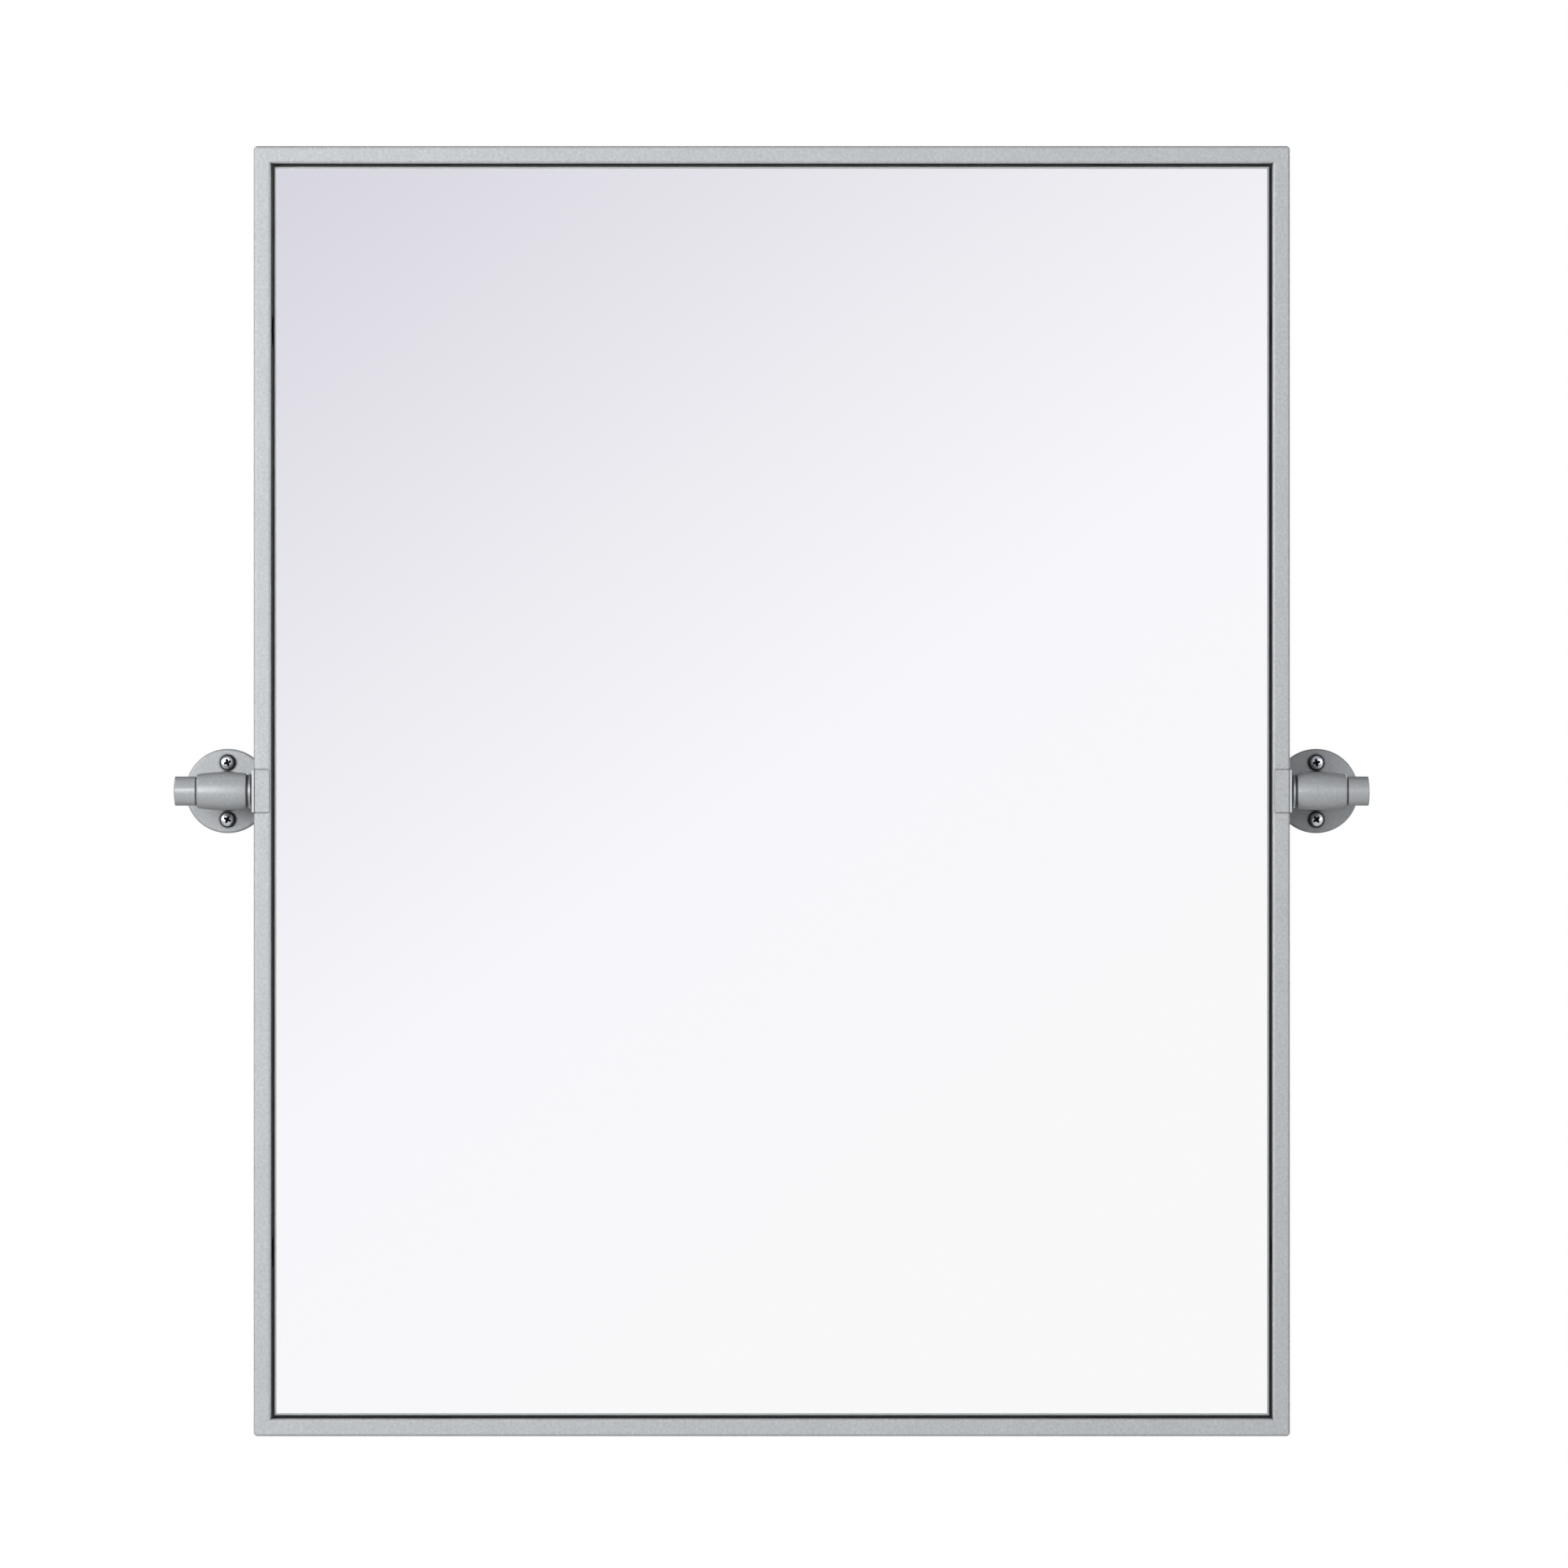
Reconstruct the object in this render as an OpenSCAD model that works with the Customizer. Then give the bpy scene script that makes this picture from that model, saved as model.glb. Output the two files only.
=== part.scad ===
// Pivot wall mirror: a welded tube frame that tilts between two cast wall brackets.
// Millimetres. +Z is up, the mirror faces -Y and the wall is the plane y = 0.
// The origin is midway between the two rosettes, on the wall, at the height of the pivot.

/* [Frame] */
// Overall width of the frame
frame_w = 510; // [400:1:800]
// Overall height of the frame
frame_h = 635; // [450:1:1000]
// Width of the tube seen from the front
rail_face = 8.5; // [7.5:0.1:12]
// Depth of the tube from front to back
rail_depth = 20; // [18.5:0.5:28]
// Wall of the tube
tube_wall = 1.2; // [0.8:0.1:1.6]
// Outside rounding of the tube's long edges
rail_round = 1.3; // [1:0.1:2]
// Rounding of the frame's four outer corners, seen from the front
corner_round = 2; // [0.6:0.1:4]

/* [Glass and backing] */
// Thickness of the mirror glass
glass_t = 4; // [3:0.5:5]
// Depth of the glass behind the front face of the frame
glass_recess = 4.5; // [2.5:0.1:6]
// Gap between the glass and the frame, all round
glass_gap = 1.5; // [0.6:0.1:3]
// Ground arris along the glass edges
glass_arris = 1; // [0.2:0.1:1.4]
// Thickness of the foam tape behind the glass
tape_t = 1; // [0.6:0.1:1.6]
// Width of one strip of foam tape
tape_w = 25; // [15:1:40]
// Number of strips of foam tape
tape_count = 5; // [2:1:8]
// Distance from the glass edge to the tape
tape_inset = 30; // [10:1:60]
// Thickness of the backing board
board_t = 6; // [4:0.5:7.5]
// Clearance between the backing board and the frame
board_gap = 0.4; // [0.2:0.1:1]

/* [Offset clips] */
// Sheet thickness of an offset clip
clip_t = 1.2; // [0.8:0.1:1.5]
// Width of an offset clip
clip_w = 14; // [9:0.5:20]
// Inside radius of an offset clip's bends
clip_bend = 0.5; // [0.3:0.1:0.6]
// Length of the foot that lies on the backing board
clip_foot = 18; // [12:0.5:30]
// Rounding of the clip's corners
clip_corner = 2; // [0.5:0.1:3]
// Distance from a frame corner to the middle of the nearest clip
clip_inset = 90; // [50:1:150]
// Head radius of a clip screw
clip_screw_head_r = 2.9; // [2.4:0.1:3.4]
// Head height of a clip screw
clip_screw_head_h = 1.6; // [1.2:0.1:2.2]
// Shank radius of a clip screw
clip_screw_r = 1.3; // [1:0.05:1.6]
// Length of a clip screw under its head
clip_screw_len = 6; // [5:0.1:6.5]
// Play of a clip screw in the clip's hole
clip_screw_play = 0.3; // [0.1:0.05:0.6]

/* [Pivot] */
// Distance from the wall to the pivot axis
standoff = 50; // [44:0.5:70]
// Radius of the threaded stud
stud_r = 3; // [2.5:0.1:3.3]
// Running clearance round the stud
stud_fit = 0.06; // [0.02:0.01:0.1]
// Play of the stud in the holes it only passes through
stud_play = 0.3; // [0.15:0.05:0.5]
// Outside radius of a bush in the barrel
bush_r = 4.2; // [4:0.1:5]
// Clearance of a bush in its bore
bush_fit = 0.02; // [0.01:0.01:0.05]
// Length of a bush inside the barrel
bush_len = 8; // [5:0.5:11]
// Flange thickness of the bush next to the frame
inner_flange_t = 0.95; // [0.5:0.05:1.2]
// Flange radius of the bush next to the frame
inner_flange_r = 8; // [6.5:0.1:8.6]
// Flange thickness of the bush next to the knob
outer_flange_t = 0.3; // [0.2:0.05:0.8]
// Flange radius of the bush next to the knob
outer_flange_r = 6.9; // [5.5:0.1:7]
// Thickness of the bright steel washer
steel_washer_t = 1; // [0.6:0.05:1.5]
// Radius of the bright steel washer
steel_washer_r = 8.5; // [7:0.1:9]
// Thickness of the friction washer against the clip
friction_washer_t = 0.9; // [0.5:0.05:1.2]
// Radius of the friction washer
friction_washer_r = 8; // [6.5:0.1:9]
// Height of the tapped block inside the stile
block_h = 24; // [14:1:40]
// Clearance of the tapped block inside the tube
block_gap = 0.3; // [0.1:0.05:0.5]

/* [Saddle clip] */
// Sheet thickness of the saddle clip
saddle_t = 1; // [0.8:0.1:2]
// Height of the saddle clip
saddle_h = 21; // [19:0.5:30]
// How far short of the stile's inner edge its legs end
saddle_short = 0.8; // [0.3:0.1:2]
// Inside radius of its corners
saddle_bend = 0.9; // [0.4:0.1:1]
// Outside rounding of its corners
saddle_edge = 0.3; // [0.2:0.1:0.6]
// Distance from the stile's outer face in to the seam between a leg and the side plate
saddle_seam_in = 0.4; // [0:0.1:1]
// Depth of that seam
saddle_seam = 0.3; // [0.1:0.05:0.4]
// Chamfer of its upper and lower edges
saddle_chamfer = 0.25; // [0.1:0.05:0.4]
// Rounding of the legs' free corners
saddle_corner = 1.2; // [0.5:0.1:3]

/* [Wall bracket] */
// Radius of the rosette
rosette_r = 21; // [20:0.5:26]
// Thickness of the rosette
rosette_t = 3.2; // [2.5:0.1:5]
// Rounding of the rosette's rim
rosette_round = 1.1; // [0.5:0.1:2]
// Radius of the neck at its waist
neck_r = 6.8; // [6:0.1:8]
// Radius of the neck where it meets the rosette
neck_foot_r = 10.1; // [8.6:0.1:10.15]
// Arc radius of the flare at the rosette
foot_flare = 12; // [6:0.5:14]
// Fillet radius between neck and barrel, along the barrel
head_fillet = 4; // [2:0.1:4.5]
// Fillet radius between neck and barrel, across the barrel
side_fillet = 6; // [3:0.1:9]
// Depth of the casting core in the back of the neck
core_depth = 28; // [10:1:34]
// Radius of the core at the wall
core_r = 3.8; // [2.5:0.1:4.5]
// Radius of the core at its closed end
core_tip_r = 3.3; // [2:0.1:3.5]
// Length of the barrel
barrel_len = 24.7; // [23:0.1:32]
// Largest radius of the barrel
barrel_r = 9.4; // [9.1:0.1:11]
// Radius of the barrel's crown along its length
barrel_crown = 86; // [70:1:200]
// How far the crown's peak is nearer the frame than the middle
crown_shift = 1.5; // [0:0.1:2.5]
// Rounding of the barrel's ends
barrel_round = 1.1; // [0.5:0.1:1.4]

/* [Knob] */
// Radius of the knob
knob_r = 7.2; // [6.8:0.1:9]
// Length of the knob
knob_len = 11; // [9:0.1:16]
// Rise of the knob's domed end
knob_dome = 0.6; // [0.3:0.1:1.5]
// Rounding of the knob's rims
knob_round = 0.5; // [0.3:0.1:1]
// Depth of the stud's socket in the knob
socket_depth = 7.5; // [5:0.1:8]

/* [Wall screws] */
// Spacing of the two screws in a rosette
screw_pitch = 28.4; // [28.2:0.1:32]
// Head radius of a wall screw
screw_head_r = 3.95; // [3:0.05:4]
// Head height of a wall screw
screw_head_h = 2.8; // [2.2:0.1:3.5]
// Thread radius of a wall screw
screw_r = 2.1; // [1.6:0.05:2.4]
// Radius of the smooth neck under the head
screw_neck_r = 1.9; // [1.4:0.05:2]
// Play of the thread in the rosette's hole
screw_play = 0.25; // [0.1:0.05:0.4]
// Length that goes into the wall
screw_len = 27; // [20:1:45]
// Length of the screw's point
screw_point = 4; // [2:0.5:6]
// Radius of the blunt tip of every screw
screw_tip_r = 0.35; // [0.2:0.05:0.5]

/* [Hidden] */
$fn = 96;

// colours
paint = [0.74, 0.76, 0.77];
bright_steel = [0.82, 0.83, 0.84];
nylon = [0.13, 0.13, 0.14];
black_board = [0.09, 0.09, 0.10];
silvering = [0.90, 0.91, 0.95];
foam = [0.30, 0.31, 0.33];

// sides of the frame and of the wall bracket: +1 is right, -1 is left
right = 1;
left = -1;
cut = 1;                                  // how far a cutter runs past what it cuts
arc_sides = 1440;                         // sides of the long, shallow arcs
least_round = 0.2;                        // least rounding inside the tube

// a pan head, as ratios to its height or to its radius
pan_side_ratio = 0.4;                     // height of the straight side
recess_floor_ratio = 0.45;                // height of the recess's floor
recess_reach_ratio = 0.55;                // length of a recess arm
recess_width_ratio = 0.24;                // width of a recess arm

// depths, from the wall
frame_front = -standoff - rail_depth / 2;
frame_back = frame_front + rail_depth;
glass_front = frame_front + glass_recess;
tape_front = glass_front + glass_t;
board_front = tape_front + tape_t;
board_back = board_front + board_t;
clip_step = frame_back - board_back;

// widths and heights
open_w = frame_w - 2 * rail_face;
open_h = frame_h - 2 * rail_face;
glass_w = open_w - 2 * glass_gap;
glass_h = open_h - 2 * glass_gap;
board_w = open_w - 2 * board_gap;
board_h = open_h - 2 * board_gap;
clip_z = frame_h / 2 - clip_inset;

// places along the pivot axis, from the middle of the mirror
stile_x = frame_w / 2;
clip_x = stile_x - clip_inset;
web_x = stile_x + saddle_t;
steel_washer_x = web_x + friction_washer_t;
inner_flange_x = steel_washer_x + steel_washer_t;
barrel_x = inner_flange_x + inner_flange_t;
barrel_end_x = barrel_x + barrel_len;
bracket_x = (barrel_x + barrel_end_x) / 2;
knob_x = barrel_end_x + outer_flange_t;

// the neck's head starts this far from the wall, and is lofted in steps and sides
neck_head_y = standoff - barrel_r - head_fillet;
head_steps = 7;
head_sides = 48;
head_seat = 0.06;                         // its first ring lies this far inside the round neck
head_bury = 0.6;                          // its last ring lies this far inside the barrel
head_sweep = 80;                          // angle of the fillet's arc that the loft follows

// the tapped block and the stud
block_t = rail_face - 2 * tube_wall - block_gap;
stud_tip_x = stile_x - tube_wall - block_t;
stud_end_x = knob_x + socket_depth;
bore_r = stud_r + stud_fit;
hole_r = stud_r + stud_play;
stud_chamfer = 0.6;

// an offset clip, measured from the outer edge of the tube
clip_reach = rail_face;
clip_outer_bend = clip_bend + clip_t;
clip_start = 0.6;
clip_foot_u = clip_reach + clip_bend + clip_outer_bend;
clip_end = clip_foot_u + clip_foot;
rail_screw_u = rail_face / 2;
board_screw_u = clip_foot_u + clip_foot / 2;
clip_hole_r = clip_screw_r + clip_screw_play;
pilot_fit = 0.05;

// ---------- helpers ----------

// What is modelled on the right is mirrored to the left.
module on_side(side) {
    mirror([side == left ? 1 : 0, 0, 0]) children();
}

module rounded_rect(w, h, r) {
    translate([r, 0]) square([w - 2 * r, h]);
    translate([0, r]) square([w, h - 2 * r]);
    for (x = [r, w - r], y = [r, h - r])
        translate([x, y]) circle(r);
}

module chamfered_rect(w, h, c) {
    polygon([
        [c - w / 2, -h / 2], [w / 2 - c, -h / 2], [w / 2, c - h / 2], [w / 2, h / 2 - c],
        [w / 2 - c, h / 2], [c - w / 2, h / 2], [-w / 2, h / 2 - c], [-w / 2, c - h / 2]
    ]);
}

// A cylinder along +X from x0 to x1, on the pivot axis.
module pivot_rod(r, x0, x1) {
    translate([x0, -standoff, 0])
        rotate([0, 90, 0])
            cylinder(r = r, h = x1 - x0);
}

// Revolves a half section, drawn as [distance along +X, radius], about the pivot axis.
module pivot_revolve() {
    translate([0, -standoff, 0])
        rotate([0, 90, 0])
            rotate_extrude()
                mirror([1, 0])
                    rotate(90)
                        children();
}

// Half section of a round bar from x = 0 to len: domed far end, rounded rims.
module domed_bar_section(r, len, dome, round) {
    dome_r = (r * r + dome * dome) / (2 * dome);
    dome_x = len - dome_r;
    rim_x = dome_x + sqrt(pow(dome_r - round, 2) - pow(r - round, 2));
    meet_r = (r - round) * dome_r / (dome_r - round);
    intersection() {
        square([len, meet_r]);
        translate([dome_x, 0]) circle(dome_r, $fn = arc_sides);
    }
    translate([round, 0]) square([rim_x - round, r]);
    square([rim_x, r - round]);
    for (x = [round, rim_x])
        translate([x, r - round]) circle(round);
}

// Half section of the crowned barrel from x = 0 to len, its peak shifted towards x = 0.
module crowned_section(r, len, crown, shift, round) {
    peak_x = len / 2 - shift;
    drop = r - crown;
    rim_near = drop + sqrt(pow(crown - round, 2) - pow(peak_x - round, 2));
    rim_far = drop + sqrt(pow(crown - round, 2) - pow(len - round - peak_x, 2));
    reach = crown / (crown - round);
    meet_near = peak_x - (peak_x - round) * reach;
    meet_far = peak_x + (len - round - peak_x) * reach;
    intersection() {
        translate([meet_near, 0]) square([meet_far - meet_near, r]);
        translate([peak_x, drop]) circle(crown, $fn = arc_sides);
    }
    square([len / 2, rim_near]);
    translate([len / 2, 0]) square([len / 2, rim_far]);
    translate([round, rim_near]) circle(round);
    translate([len - round, rim_far]) circle(round);
}

// ---------- screws ----------

// Pan head standing on z = 0, with a cross recess.
module pan_head(r, h) {
    dome_h = h - pan_side_ratio * h;
    dome_r = (r * r + dome_h * dome_h) / (2 * dome_h);
    reach = recess_reach_ratio * r;
    width = recess_width_ratio * r;
    difference() {
        intersection() {
            cylinder(r = r, h = h);
            translate([0, 0, h - dome_r]) sphere(dome_r);
        }
        for (a = [0, 90])
            rotate(a)
                translate([-reach, -width / 2, recess_floor_ratio * h])
                    cube([2 * reach, width, h]);
    }
}

// Small tapping screw: its head stands on z = 0 and its shank points down.
module clip_screw() {
    point = clip_screw_r;
    pan_head(clip_screw_head_r, clip_screw_head_h);
    translate([0, 0, point - clip_screw_len])
        cylinder(r = clip_screw_r, h = clip_screw_len - point);
    translate([0, 0, -clip_screw_len])
        cylinder(r1 = screw_tip_r, r2 = clip_screw_r, h = point);
}

// Wall screw: its head stands on the rosette, its thread starts at the wall plane.
module wall_screw() {
    rotate([90, 0, 0]) {
        translate([0, 0, rosette_t]) pan_head(screw_head_r, screw_head_h);
        cylinder(r = screw_neck_r, h = rosette_t);
        translate([0, 0, screw_point - screw_len])
            cylinder(r = screw_r, h = screw_len - screw_point);
        translate([0, 0, -screw_len])
            cylinder(r1 = screw_tip_r, r2 = screw_r, h = screw_point);
    }
}

module wall_screws(side) {
    color(bright_steel)
        on_side(side)
            for (z = [-screw_pitch / 2, screw_pitch / 2])
                translate([bracket_x, 0, z])
                    wall_screw();
}

// ---------- frame ----------

// One mitred length of tube along X: z = 0 is its outer edge, y = 0 its front face.
module mitred_tube(len) {
    intersection() {
        translate([-len / 2, 0, 0])
            rotate([90, 0, 90])
                linear_extrude(len)
                    difference() {
                        rounded_rect(rail_depth, rail_face, rail_round);
                        translate([tube_wall, tube_wall])
                            rounded_rect(rail_depth - 2 * tube_wall, rail_face - 2 * tube_wall,
                                         max(rail_round - tube_wall, least_round));
                    }
        rotate([90, 0, 0])
            translate([0, 0, -rail_depth])
                linear_extrude(rail_depth)
                    polygon([
                        [-len / 2, 0], [len / 2, 0],
                        [len / 2 - rail_face, rail_face], [rail_face - len / 2, rail_face]
                    ]);
    }
}

// Keeps what is inside the frame's outline, which rounds the four welded corners.
module inside_outline() {
    intersection() {
        children();
        translate([-stile_x, frame_back, -frame_h / 2])
            rotate([90, 0, 0])
                linear_extrude(rail_depth)
                    rounded_rect(frame_w, frame_h, corner_round);
    }
}

// Pilot holes for the screws that hold the offset clips to the tube.
module rail_pilot() {
    translate([0, frame_back - tube_wall - cut, 0])
        rotate([-90, 0, 0])
            cylinder(r = clip_screw_r + pilot_fit, h = tube_wall + 2 * cut);
}

module horizontal_rail(end) {
    color(paint)
        mirror([0, 0, end])
            difference() {
                inside_outline()
                    translate([0, frame_front, -frame_h / 2])
                        mitred_tube(frame_w);
                for (x = [-clip_x, clip_x])
                    translate([x, 0, rail_screw_u - frame_h / 2])
                        rail_pilot();
            }
}

module stile(side) {
    color(paint)
        on_side(side)
            difference() {
                inside_outline()
                    translate([stile_x, frame_front, 0])
                        rotate([0, -90, 0])
                            mitred_tube(frame_h);
                for (z = [-clip_z, clip_z])
                    translate([stile_x - rail_screw_u, 0, z])
                        rail_pilot();
                pivot_rod(hole_r, stile_x - tube_wall - cut, stile_x + cut);
            }
}

// ---------- glass and backing ----------

module mirror_glass() {
    color(silvering)
        translate([0, glass_front + glass_t / 2, 0])
            intersection() {
                translate([-glass_w / 2, 0, 0])
                    rotate([90, 0, 90])
                        linear_extrude(glass_w)
                            chamfered_rect(glass_t, glass_h, glass_arris);
                translate([0, 0, -glass_h / 2])
                    linear_extrude(glass_h)
                        chamfered_rect(glass_w, glass_t, glass_arris);
            }
}

module foam_tape_strips() {
    span = glass_w - 2 * tape_inset - tape_w;
    color(foam)
        for (i = [0 : tape_count - 1])
            translate([i * span / (tape_count - 1) - span / 2 - tape_w / 2, tape_front,
                       tape_inset - glass_h / 2])
                cube([tape_w, tape_t, glass_h - 2 * tape_inset]);
}

// Repeats its children at the eight clips, in a clip's own axes: the tube's outer edge is
// x = 0, inwards is +X, backwards is +Z and the frame's back face is z = 0.
module at_clips() {
    for (end = [0, 1], x = [-clip_x, clip_x])
        mirror([0, 0, end])
            translate([x, frame_back, -frame_h / 2])
                rotate([-90, 0, 0])
                    rotate(-90)
                        children();
    for (side = [left, right], z = [-clip_z, clip_z])
        on_side(side)
            translate([stile_x, frame_back, z])
                rotate([-90, 0, 0])
                    rotate(180)
                        children();
}

module backing_board() {
    color(black_board)
        difference() {
            translate([-board_w / 2, board_front, -board_h / 2])
                cube([board_w, board_t, board_h]);
            at_clips()
                translate([board_screw_u, 0, clip_t - clip_step - clip_screw_len - pilot_fit])
                    cylinder(r = clip_screw_r + pilot_fit, h = clip_screw_len);
        }
}

module offset_clip_section() {
    top_bend = [clip_reach, -clip_bend];
    low_bend = [clip_foot_u, clip_outer_bend - clip_step];
    translate([clip_start, 0]) square([clip_reach - clip_start, clip_t]);
    translate(top_bend) clip_bend_section(0);
    translate([top_bend[0] + clip_bend, low_bend[1]])
        square([clip_t, top_bend[1] - low_bend[1]]);
    translate(low_bend) clip_bend_section(180);
    translate([clip_foot_u, -clip_step]) square([clip_foot, clip_t]);
}

// A quarter ring of the clip's sheet, turned to start at an angle.
module clip_bend_section(turn) {
    rotate(turn)
        intersection() {
            difference() {
                circle(clip_outer_bend);
                circle(clip_bend);
            }
            square(clip_outer_bend);
        }
}

module offset_clip() {
    difference() {
        intersection() {
            rotate([90, 0, 0])
                translate([0, 0, -clip_w / 2])
                    linear_extrude(clip_w)
                        offset_clip_section();
            translate([clip_start, -clip_w / 2, -clip_step - cut])
                linear_extrude(clip_step + clip_t + 2 * cut)
                    rounded_rect(clip_end - clip_start, clip_w, clip_corner);
        }
        for (u = [rail_screw_u, board_screw_u])
            translate([u, 0, -clip_step - cut])
                cylinder(r = clip_hole_r, h = clip_step + clip_t + 2 * cut);
    }
}

module offset_clips() {
    color(bright_steel) at_clips() offset_clip();
}

module rail_screws() {
    color(bright_steel)
        at_clips()
            translate([rail_screw_u, 0, clip_t])
                clip_screw();
}

module board_screws() {
    color(bright_steel)
        at_clips()
            translate([board_screw_u, 0, clip_t - clip_step])
                clip_screw();
}

// ---------- pivot hardware ----------

// Tapped block inside the stile, held against the tube's outer wall by the stud.
module pivot_block(side) {
    depth = rail_depth - 2 * tube_wall - 2 * block_gap;
    color(bright_steel)
        on_side(side)
            difference() {
                translate([stud_tip_x, -standoff - depth / 2, -block_h / 2])
                    cube([block_t, depth, block_h]);
                pivot_rod(bore_r, stud_tip_x - cut, stile_x);
            }
}

// A leg, side plate and leg that wrap the stile's front, side and back, seen along the stile.
module saddle_section() {
    outer_depth = rail_depth + 2 * saddle_t;
    difference() {
        translate([-stile_x, frame_front - saddle_t])
            rounded_rect(frame_w + saddle_t, outer_depth, saddle_edge);
        translate([-stile_x - cut, frame_front])
            rounded_rect(frame_w + cut, rail_depth, saddle_bend);
        for (y = [frame_front - saddle_t, frame_back + saddle_t])
            translate([stile_x - saddle_seam_in, y])
                circle(saddle_seam, $fn = 4);
    }
}

// Saddle clip: its legs are shorter than the stile is wide, with round free corners.
module saddle_clip(side) {
    leg = rail_face - saddle_short;
    outer_depth = rail_depth + 2 * saddle_t;
    color(paint)
        on_side(side)
            difference() {
                intersection() {
                    translate([0, 0, -saddle_h / 2])
                        linear_extrude(saddle_h)
                            saddle_section();
                    translate([stile_x - leg, frame_back + saddle_t, -saddle_h / 2])
                        rotate([90, 0, 0])
                            linear_extrude(outer_depth)
                                rounded_rect(leg + saddle_t + saddle_corner, saddle_h, saddle_corner);
                    translate([stile_x - leg, -standoff, 0])
                        rotate([90, 0, 90])
                            linear_extrude(leg + saddle_t)
                                chamfered_rect(outer_depth, saddle_h, saddle_chamfer);
                }
                pivot_rod(hole_r, stile_x - cut, web_x + cut);
            }
}

module washer(r, x, t) {
    difference() {
        pivot_rod(r, x, x + t);
        pivot_rod(hole_r, x - cut, x + t + cut);
    }
}

module friction_washer(side) {
    color(nylon) on_side(side) washer(friction_washer_r, web_x, friction_washer_t);
}

module steel_washer(side) {
    color(bright_steel) on_side(side) washer(steel_washer_r, steel_washer_x, steel_washer_t);
}

module inner_bush(side) {
    color(nylon)
        on_side(side)
            difference() {
                union() {
                    pivot_rod(inner_flange_r, inner_flange_x, barrel_x);
                    pivot_rod(bush_r, inner_flange_x, barrel_x + bush_len);
                }
                pivot_rod(bore_r, inner_flange_x - cut, barrel_x + bush_len + cut);
            }
}

module outer_bush(side) {
    color(nylon)
        on_side(side)
            difference() {
                union() {
                    pivot_rod(outer_flange_r, barrel_end_x, knob_x);
                    pivot_rod(bush_r, barrel_end_x - bush_len, knob_x);
                }
                pivot_rod(bore_r, barrel_end_x - bush_len - cut, knob_x + cut);
            }
}

module knob(side) {
    color(paint)
        on_side(side)
            difference() {
                pivot_revolve()
                    translate([knob_x, 0])
                        domed_bar_section(knob_r, knob_len, knob_dome, knob_round);
                pivot_rod(stud_r + bush_fit, knob_x - cut, stud_end_x);
            }
}

module pivot_stud(side) {
    color(bright_steel)
        on_side(side) {
            pivot_rod(stud_r, stud_tip_x + stud_chamfer, stud_end_x);
            translate([stud_tip_x, -standoff, 0])
                rotate([0, 90, 0])
                    cylinder(r1 = stud_r - stud_chamfer, r2 = stud_r, h = stud_chamfer);
        }
}

// ---------- wall bracket ----------

// Half section of the rosette and the neck: [radius, distance from the wall].
module bracket_stem_section() {
    foot_len = sqrt(pow(foot_flare, 2) - pow(foot_flare - neck_foot_r + neck_r, 2));
    square([rosette_r - rosette_round, rosette_t]);
    square([rosette_r, rosette_t - rosette_round]);
    translate([rosette_r - rosette_round, rosette_t - rosette_round]) circle(rosette_round);
    difference() {
        translate([0, rosette_t]) square([neck_foot_r, foot_len]);
        translate([neck_r + foot_flare, rosette_t + foot_len]) circle(foot_flare);
    }
    square([neck_r, standoff]);
}

// Growth of a fillet of radius r over the neck, a distance d past where it starts.
function fillet_rise(r, d) = d <= 0 ? 0 : r - sqrt(max(r * r - d * d, 0));

// One ring of the neck's head: an ellipse of half widths a and b, at distance y from the wall.
function head_ring(a, b, y) =
    [for (i = [0 : head_sides - 1])
        let (turn = 360 * i / head_sides)
            [a * cos(turn), b * sin(turn), y]];

// The neck's head: a loft that swells along the barrel and, nearer to it, across the barrel.
module neck_head() {
    lean = sqrt(pow(barrel_r + side_fillet, 2) - pow(neck_r + side_fillet, 2));
    side_start = head_fillet + barrel_r - lean;
    side_reach = lean * side_fillet / (barrel_r + side_fillet);
    head_reach = head_fillet * sin(head_sweep);
    start_r = neck_r - head_seat;
    buried = side_start + side_reach + head_bury;
    rises = concat(
        [for (i = [0 : head_steps]) head_fillet * sin(head_sweep * i / head_steps)],
        [for (i = [1 : head_steps]) head_fillet + (buried - head_fillet) * i / head_steps]
    );
    rings = [for (d = rises)
        head_ring(start_r + fillet_rise(head_fillet, min(d, head_reach)),
                  start_r + fillet_rise(side_fillet, min(d - side_start, side_reach)),
                  neck_head_y + d)];
    last = len(rings) - 1;
    polyhedron(
        points = [for (ring = rings) each ring],
        faces = concat(
            [[for (i = [0 : head_sides - 1]) i]],
            [for (k = [0 : last - 1], i = [0 : head_sides - 1])
                let (j = (i + 1) % head_sides)
                    each [[k * head_sides + i, (k + 1) * head_sides + i, (k + 1) * head_sides + j],
                          [k * head_sides + i, (k + 1) * head_sides + j, k * head_sides + j]]],
            [[for (i = [head_sides - 1 : -1 : 0]) last * head_sides + i]]
        )
    );
}

// The casting: rosette, flared neck and crowned barrel, bored for the bushes and cored
// from behind.
module wall_bracket(side) {
    color(paint)
        on_side(side)
            difference() {
                union() {
                    translate([bracket_x, 0, 0])
                        rotate([90, 0, 0]) {
                            rotate_extrude() bracket_stem_section();
                            neck_head();
                        }
                    pivot_revolve()
                        translate([barrel_x, 0])
                            crowned_section(barrel_r, barrel_len, barrel_crown, crown_shift,
                                            barrel_round);
                }
                pivot_rod(bush_r + bush_fit, barrel_x - cut, barrel_end_x + cut);
                translate([bracket_x, cut, 0])
                    rotate([90, 0, 0])
                        cylinder(r1 = core_r, r2 = core_tip_r, h = core_depth + cut);
                for (z = [-screw_pitch / 2, screw_pitch / 2])
                    translate([bracket_x, cut, z])
                        rotate([90, 0, 0])
                            cylinder(r = screw_r + screw_play, h = rosette_t + 2 * cut);
            }
}

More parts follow.
